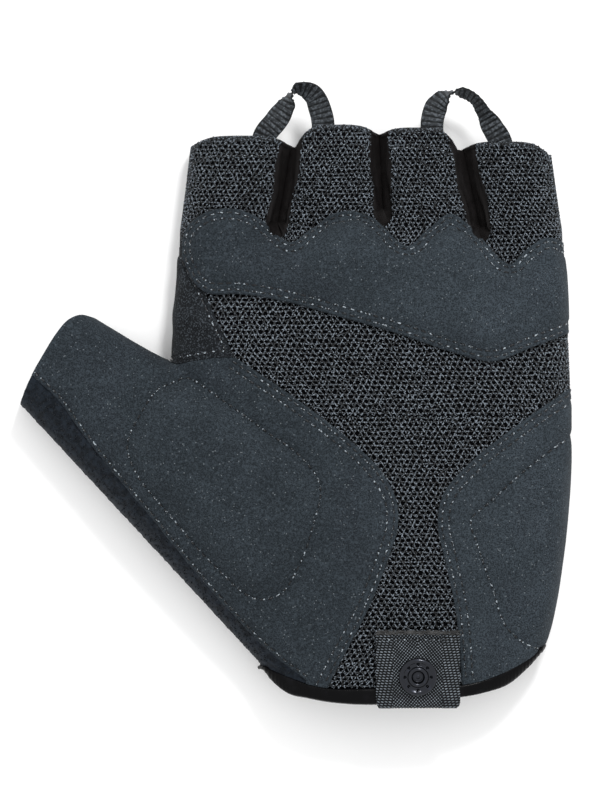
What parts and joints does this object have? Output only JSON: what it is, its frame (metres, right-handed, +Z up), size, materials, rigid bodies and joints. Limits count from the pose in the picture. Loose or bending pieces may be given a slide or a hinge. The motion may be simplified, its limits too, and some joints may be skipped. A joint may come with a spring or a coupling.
{
  "type": "cycling glove",
  "caption": "Fingerless mitt for the left hand with padded suede palm, mesh front, pull loops between the fingers and a snapped wrist tab.",
  "frame": {"origin": "on the surface it lies on, under the middle of its bounding box", "axes": "+X from the thumb to the little finger, +Y from the wrist to the fingertips, +Z up out of the palm"},
  "size_m": [0.144, 0.1636, 0.0259],
  "materials": {
    "palm_mesh": "open knitted mesh, slightly shiny yarn",
    "suede": "matte synthetic suede with pale fibre specks",
    "towelling": "brushed terry pile",
    "back_cloth": "brushed stretch knit",
    "gusset_cloth": "smooth stretch jersey",
    "cuff_elastic": "narrow elastic binding, slight sheen",
    "tape": "ribbed woven tape",
    "snap_metal": "blackened metal, satin"
  },
  "bodies": {
    "root": {"palm_mesh": "palm_mesh", "knuckle_panel": "suede", "thumb_panel": "suede", "heel_panel": "suede", "thumb_towelling": "towelling", "back_panel": "back_cloth", "gusset_index_middle": "gusset_cloth", "gusset_middle_ring": "gusset_cloth", "gusset_ring_little": "gusset_cloth", "cuff_band": "cuff_elastic", "wrist_tab": "tape", "press_snap": "snap_metal", "loop_index_middle": "tape", "loop_ring_little": "tape"}
  },
  "joints": []
}
